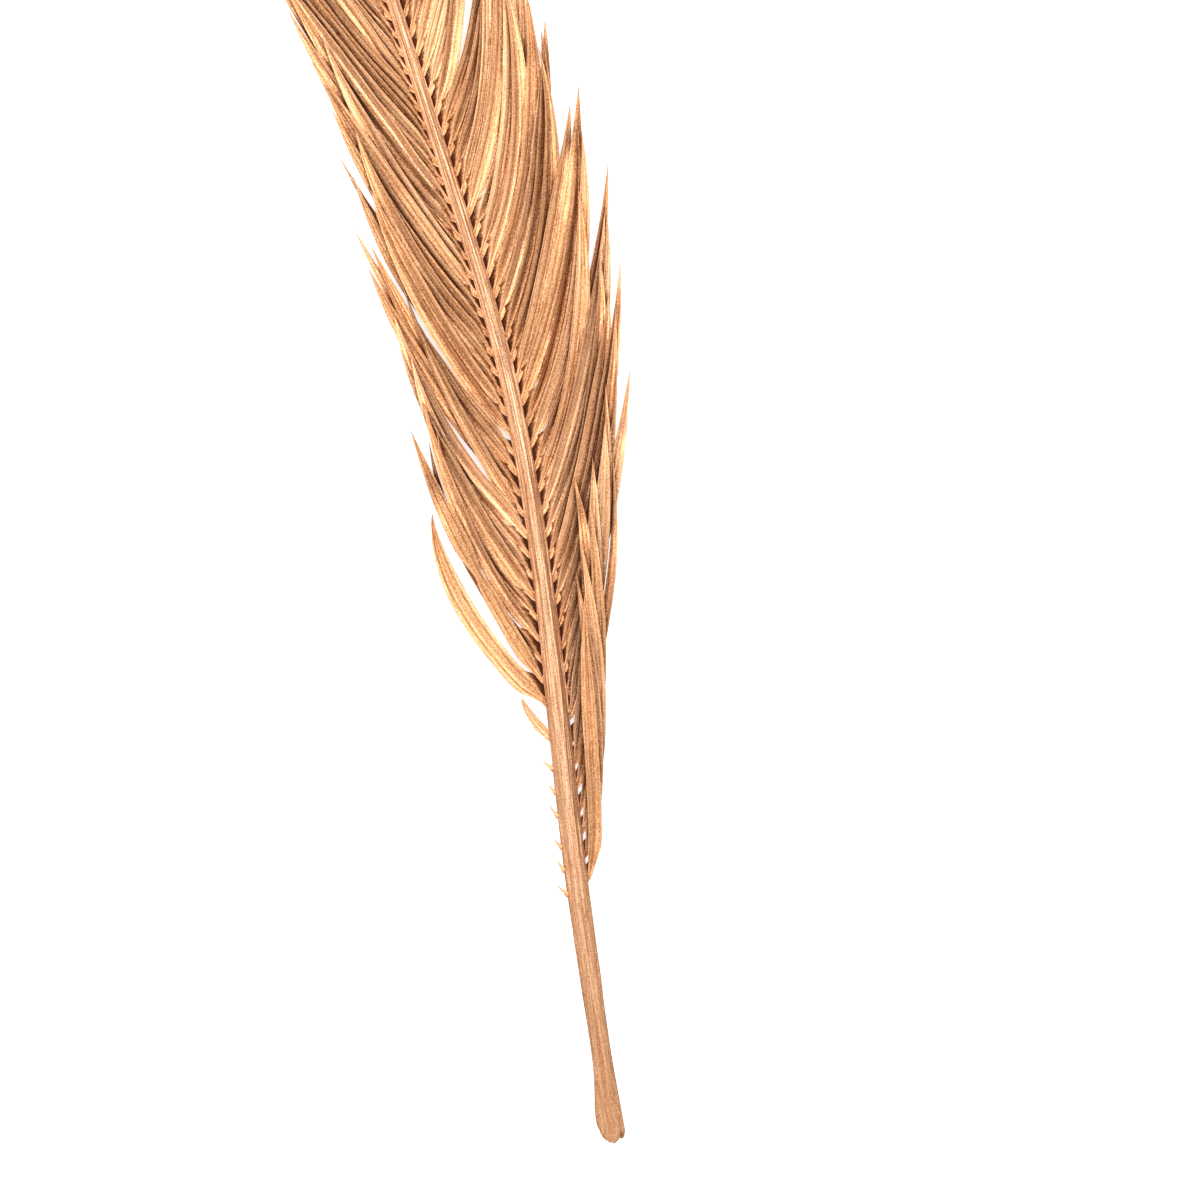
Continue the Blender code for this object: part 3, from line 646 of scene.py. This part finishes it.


# Over a blade: stations along it, shares across its upper face and back across its lower one, the share
# past which the inner edge is web, and how much of its length runs beside the stalk. Then how pale the
# edges are, how strong the painted highlight on the rib crests is, how much painted shade each place
# gets, and how far apart the leaflets' grain is taken. Below the foot: the root's sections and how far
# they run.
BLADE_STATIONS = np.concatenate((np.linspace(0.0, 0.12, 11)[:-1], np.linspace(0.12, 0.998, 30)))
TOP_SHARES = np.linspace(-1.0, 1.0, 49)
UNDER_SHARES = np.concatenate((np.linspace(0.93, -0.79, 13), (-0.875, -0.917, -0.958)))
WEB_SHARE, WEB_ALONG = 0.88, 0.87
EDGE_PALE, RIDGE_HIGHLIGHT = 0.22, 0.36
ROOT_SHADE, LEAF_UNDER_SHADE, FURROW_SHADE, SHELTER_SHADE = 0.35, 0.20, 0.42, 1.35
GRAIN_SHIFT = 37.0
ROOT_STEPS, ROOT_BACK, ROOT_IN, ROOT_BEND, ROOT_SHRINK = np.linspace(1.0, 0.2, 5), 0.0036, 0.0021, 0.0006, 0.6


def leaflet_shell(plan, heights):
    """A leaflet's closed shell: its upper face, then its lower one back to the inner edge. By the foot that
    edge is drawn down to the stalk's flank as a web, which sags by a parabola. Below the foot the
    sections shrink, run back down the stalk and sink into its flank along a parabola. The edges are
    paler and the rib crests get painted highlights; the web, a dark sheet standing in for the shadow in
    the pocket by the stalk, and the root, underside, furrows and sheltered places get painted shade."""
    t = BLADE_STATIONS
    upper, under = blade_surface(plan, t, TOP_SHARES, 1), blade_surface(plan, t, UNDER_SHARES, -1)
    grid = np.concatenate((upper, under), axis=1)
    shares = np.concatenate((TOP_SHARES, UNDER_SHARES))[None, :]
    # The web is a sheet drawn down into the pocket beside the stalk, where it carries painted shade for the
    # shadow there.
    web = np.clip((-shares - WEB_SHARE) / (1 - WEB_SHARE), 0.0, 1.0)
    web = web * (1 - ease(0.9 * plan["web"], 1.3 * plan["web"], t))[:, None]
    beside = np.minimum(plan["station"] + t * plan["length"] * WEB_ALONG, STALK_LENGTH)
    skin = flank(beside, plan["sign"], -WEB_DEPTH)
    skin = skin - UP * (WEB_DROP * smooth_through(THICKNESS, beside))[:, None]
    grid = grid + (skin[:, None, :] - grid) * web[..., None]
    grid[..., 2] -= WEB_SAG * 4 * web * (1 - web)

    _, forward, across = stalk_at(plan["station"])
    outer, middle = across * plan["sign"], grid[0].mean(axis=0)
    inward = ROOT_IN * ROOT_STEPS + ROOT_BEND * ROOT_STEPS ** 2
    runs = -(np.outer(ROOT_BACK * ROOT_STEPS, forward) + np.outer(inward, outer))
    shrink = 1 - ROOT_SHRINK * ROOT_STEPS ** 2
    roots = middle + runs[:, None, :] + (grid[0] - middle) * shrink[:, None, None]
    grid = np.concatenate((roots, grid))
    t = np.concatenate((-0.045 * ROOT_STEPS, t))[:, None]
    web = np.concatenate((np.repeat(web[:1], len(ROOT_STEPS), axis=0), web))

    under_side = np.concatenate((np.zeros(len(TOP_SHARES)), np.ones(len(UNDER_SHARES))))[None, :]
    off = np.abs(shares)
    edge = bump(off, 1.0, 0.08) * (1 - under_side) * ease(0.0, 0.03, t)
    past_root = (1 - off ** 6) * ease(-0.04, 0.02, t)
    # Painted shade: darkest on the web, then on the root, the underside and the furrows.
    shaded = web ** 0.4 + ROOT_SHADE * (1 - ease(-0.03, 0.02, t)) + LEAF_UNDER_SHADE * under_side
    shaded = shaded + FURROW_SHADE * furrows(plan, off) * past_root
    # The rib crests get painted highlights and the edges are paler; places under other leaflets get more
    # painted shade.
    coats = dict(tone=plan["tone"] + 0 * t * shares,
                 pale_and_highlight=EDGE_PALE * edge + RIDGE_HIGHLIGHT * ridges(plan, off) * past_root,
                 painted_shade=shaded + SHELTER_SHADE * shelter(grid, heights) ** 1.3)
    closing = np.concatenate((shares, shares[:, :1]), axis=1)
    width = np.interp(t, plan["t"], plan["widths"])
    shift = plan["station"] * GRAIN_SHIFT
    around = closing * np.maximum(width, 0.002) / 2 + shift
    return closed_shell(grid, t * plan["length"] + shift + 0 * closing, around, coats)


# LEAF_PALE is reached by the paler edges and the painted highlights, LEAF_DEEP by painted shade.
LEAF_BODY, LEAF_PALE, LEAF_DEEP = (0.765, 0.376, 0.160), (0.94, 0.665, 0.44), (0.15, 0.032, 0.005)
leaf_paint = copper_spray("leaflet_copper", LEAF_BODY, LEAF_PALE, LEAF_DEEP,
                          fibre_pitch=0.00042, fibre_depth=0.00010)

plans = {side_name: leaflet_plans(side) for side_name, side in SIDES.items()}
seen = np.maximum(lay(plans["left"]), lay(plans["right"]))

# The stalk's roof goes on the height map too, at steps finer than a cell, so it casts painted shade on the
# leaflets beside it.
roof = stalk_grid[:, np.sin(stalk_turn) > 0.0]
roof = (roof[:, :-1, None] + (roof[:, 1:, None] - roof[:, :-1, None]) * np.linspace(0.0, 1.0, 3)[:, None])
roof = (roof[:-1, ..., None, :] + (roof[1:] - roof[:-1])[..., None, :] * np.linspace(0.0, 1.0, 4)[:, None])
np.maximum.at(seen, map_cells(roof), roof[..., 2])

for side_name, laid in plans.items():
    for number in range(len(laid) // LEAFLETS_PER_PIECE):
        own = laid[number * LEAFLETS_PER_PIECE:(number + 1) * LEAFLETS_PER_PIECE]
        make_piece(f"leaflets_{side_name}_{number + 1:02d}", [leaflet_shell(plan, seen) for plan in own],
                   leaf_paint)


# ---------------------------------------------------------------------------------------------------
# The last leaflet, straight on from the stalk's tip, and the stub of the lowest left one, which broke
# off short and blunt. Both are the same blade as the others and grow out of the stalk.
# ---------------------------------------------------------------------------------------------------

LAST = dict(leave=2.0, end=-3.0, length=0.052, width=0.0036, tilt=12.0, rise=0.0004, sag=0.0)
STUB_STATION = 0.170
STUB = dict(leave=44.0, end=0.0, length=0.0172, width=0.0052, tilt=20.0, rise=0.0, sag=0.0)
SHORT_WEB = 0.02

tip, forward, across = stalk_at(np.array(STALK_LENGTH))
last = dried(plan_of(tip, forward, across, **LAST), np.random.default_rng(3), 1.0, STALK_LENGTH)
last["twist"], last["web"] = 0.0, SHORT_WEB
make_piece("leaflet_terminal", [leaflet_shell(last, seen)], leaf_paint)

_, forward, across = stalk_at(np.array(STUB_STATION))
start = flank(np.array(STUB_STATION), -1.0, FOOT_REACH)
stub = dried(plan_of(start, forward, -across, **STUB), np.random.default_rng(8), -1.0, STUB_STATION)
stub["twist"], stub["web"] = 0.2, SHORT_WEB
t = stub["t"]
stub["widths"] = STUB["width"] * (0.8 + 0.2 * ease(0.0, 0.3, t) - 0.4 * t) * np.sqrt(1 - t ** 6)
make_piece("leaflet_stub", [leaflet_shell(stub, seen)], leaf_paint)


# ---------------------------------------------------------------------------------------------------
# The spines: the lowest left leaflets never opened, and stayed short hard thorns on the petiole's edge.
# They are dry and sharp, hooked up the stalk, and sprayed with it.
# ---------------------------------------------------------------------------------------------------

SPINE_STATIONS = (0.102, 0.112, 0.122, 0.135, 0.145, 0.155)
SPINE_LENGTH, SPINE_RADIUS, SPINE_ANGLE, SPINE_HOOK = 0.0065, 0.0007, 38.0, 34.0
SPINE_RINGS, SPINE_POINTS, SPINE_ROOT = 22, 12, 0.0012


def spine_shell(station, draw):
    """A thorn: flattened rings along a path whose angle from the stalk falls evenly, the radius going as
    the 0.8 power of what is left, and about twice that at the foot."""
    _, forward, across = stalk_at(np.array(station))
    t = np.linspace(0.0, 0.985, SPINE_RINGS)
    length = SPINE_LENGTH * draw.uniform(0.62, 1.05)
    angle = np.radians(SPINE_ANGLE + draw.normal(0.0, 7.0) + SPINE_HOOK * (0.5 - t))[:, None]
    going = forward * np.cos(angle) - across * np.sin(angle) + UP * 0.12
    steps = (going[1:] + going[:-1]) / 2 * np.diff(t)[:, None] * (length + SPINE_ROOT)
    start = flank(np.array(station), -1.0, -0.0004)
    path = start + np.concatenate((np.zeros((1, 3)), np.cumsum(steps, axis=0)))
    turn = np.linspace(0.0, 2 * math.pi, SPINE_POINTS, endpoint=False)[None, :]
    radius = (1.15 * SPINE_RADIUS * (1 - t) ** 0.8 * (1 + 1.1 * (1 - ease(0.0, 0.4, t))))[:, None]
    beside = np.cross(going, UP)
    grid = path[:, None, :] + beside[:, None, :] * (radius * np.cos(turn))[..., None]
    grid = grid + UP * (0.7 * radius * np.sin(turn))[..., None]
    # Paler towards the point, with painted shade at the foot where it meets the stalk.
    coats = dict(tone=0 * t[:, None] * turn, pale_and_highlight=0.25 * t[:, None] + 0 * turn,
                 painted_shade=0.20 * (1 - ease(0.0, 0.3, t))[:, None] + 0 * turn)
    closing = np.concatenate((turn, turn[:, :1] + 2 * math.pi), axis=1)
    along, around = t[:, None] * SPINE_LENGTH + 0 * closing, closing * SPINE_RADIUS + 0 * t[:, None]
    return closed_shell(grid, along, around, coats)


thorns = np.random.default_rng(17)
for number, station in enumerate(SPINE_STATIONS, start=1):
    make_piece(f"spine_{number}", [spine_shell(station, thorns)], leaf_paint)


# ---------------------------------------------------------------------------------------------------
# The studio: a plain pale floor, a broad soft box on each side, the right one steeper, a wider one
# overhead, and a camera that looks straight down on the lower two thirds of the frond.
# ---------------------------------------------------------------------------------------------------

FLOOR_SIZE, FLOOR_COLOUR, FLOOR_GLOW = 6.0, (0.58, 0.58, 0.577), 0.74
ROOM_COLOUR, ROOM_LIGHT = (1.0, 0.99, 0.975, 1.0), 0.60
FRAME_WIDTH, CAMERA_HEIGHT, SENSOR = 0.504, 2.2, 0.036
AIM_FROM_CUT = np.array((-0.0050, 0.2266))
FOCUS_HEIGHT = 0.010

floor_mesh = bpy.data.meshes.new("studio_floor")
edge = FLOOR_SIZE / 2
floor_mesh.from_pydata([(-edge, -edge, 0.0), (edge, -edge, 0.0), (edge, edge, 0.0), (-edge, edge, 0.0)],
                       [], [(0, 1, 2, 3)])
floor = bpy.data.objects.new("studio_floor", floor_mesh)
bpy.context.scene.collection.objects.link(floor)
floor_paper = bpy.data.materials.new("floor_paper")
floor_paper.use_nodes = True
paper = floor_paper.node_tree.nodes["Principled BSDF"].inputs
paper["Base Color"].default_value = (*FLOOR_COLOUR, 1.0)
paper["Roughness"].default_value = 0.9
paper["Emission Color"].default_value = (1.0, 1.0, 1.0, 1.0)
paper["Emission Strength"].default_value = FLOOR_GLOW
floor_mesh.materials.append(floor_paper)


def soft_box(name, place, size, power):
    """A square area light at a place, turned to the middle of the floor."""
    light = bpy.data.lights.new(name, "AREA")
    light.shape, light.size, light.energy = "SQUARE", size, power
    box = bpy.data.objects.new(name, light)
    direction = -np.array(place)
    box.rotation_euler = (math.acos(-direction[2] / np.linalg.norm(direction)), 0.0,
                          math.atan2(direction[1], direction[0]) - math.pi / 2)
    box.location = place
    bpy.context.scene.collection.objects.link(box)


soft_box("soft_box_left", (-0.80, 0.20, 1.5), size=0.7, power=16.0)
soft_box("soft_box_right", (0.50, 0.30, 1.7), size=0.7, power=13.7)
soft_box("soft_box_above", (0.1, 0.6, 1.9), size=0.9, power=16.0)

world = bpy.data.worlds.new("studio")
world.use_nodes = True
world.node_tree.nodes["Background"].inputs["Color"].default_value = ROOM_COLOUR
world.node_tree.nodes["Background"].inputs["Strength"].default_value = ROOM_LIGHT
bpy.context.scene.world = world
bpy.context.scene.view_settings.view_transform = "Standard"

camera_data = bpy.data.cameras.new("camera")
camera_data.sensor_width = SENSOR * 1000
camera_data.lens = 1000 * SENSOR * (CAMERA_HEIGHT - FOCUS_HEIGHT) / FRAME_WIDTH
camera_data.clip_start, camera_data.clip_end = 0.05, 20.0
camera = bpy.data.objects.new("camera", camera_data)
camera.location = (*(ORIGIN[:2] + (0.0, -CUT_LENGTH) + AIM_FROM_CUT), CAMERA_HEIGHT)
bpy.context.scene.collection.objects.link(camera)
bpy.context.scene.camera = camera
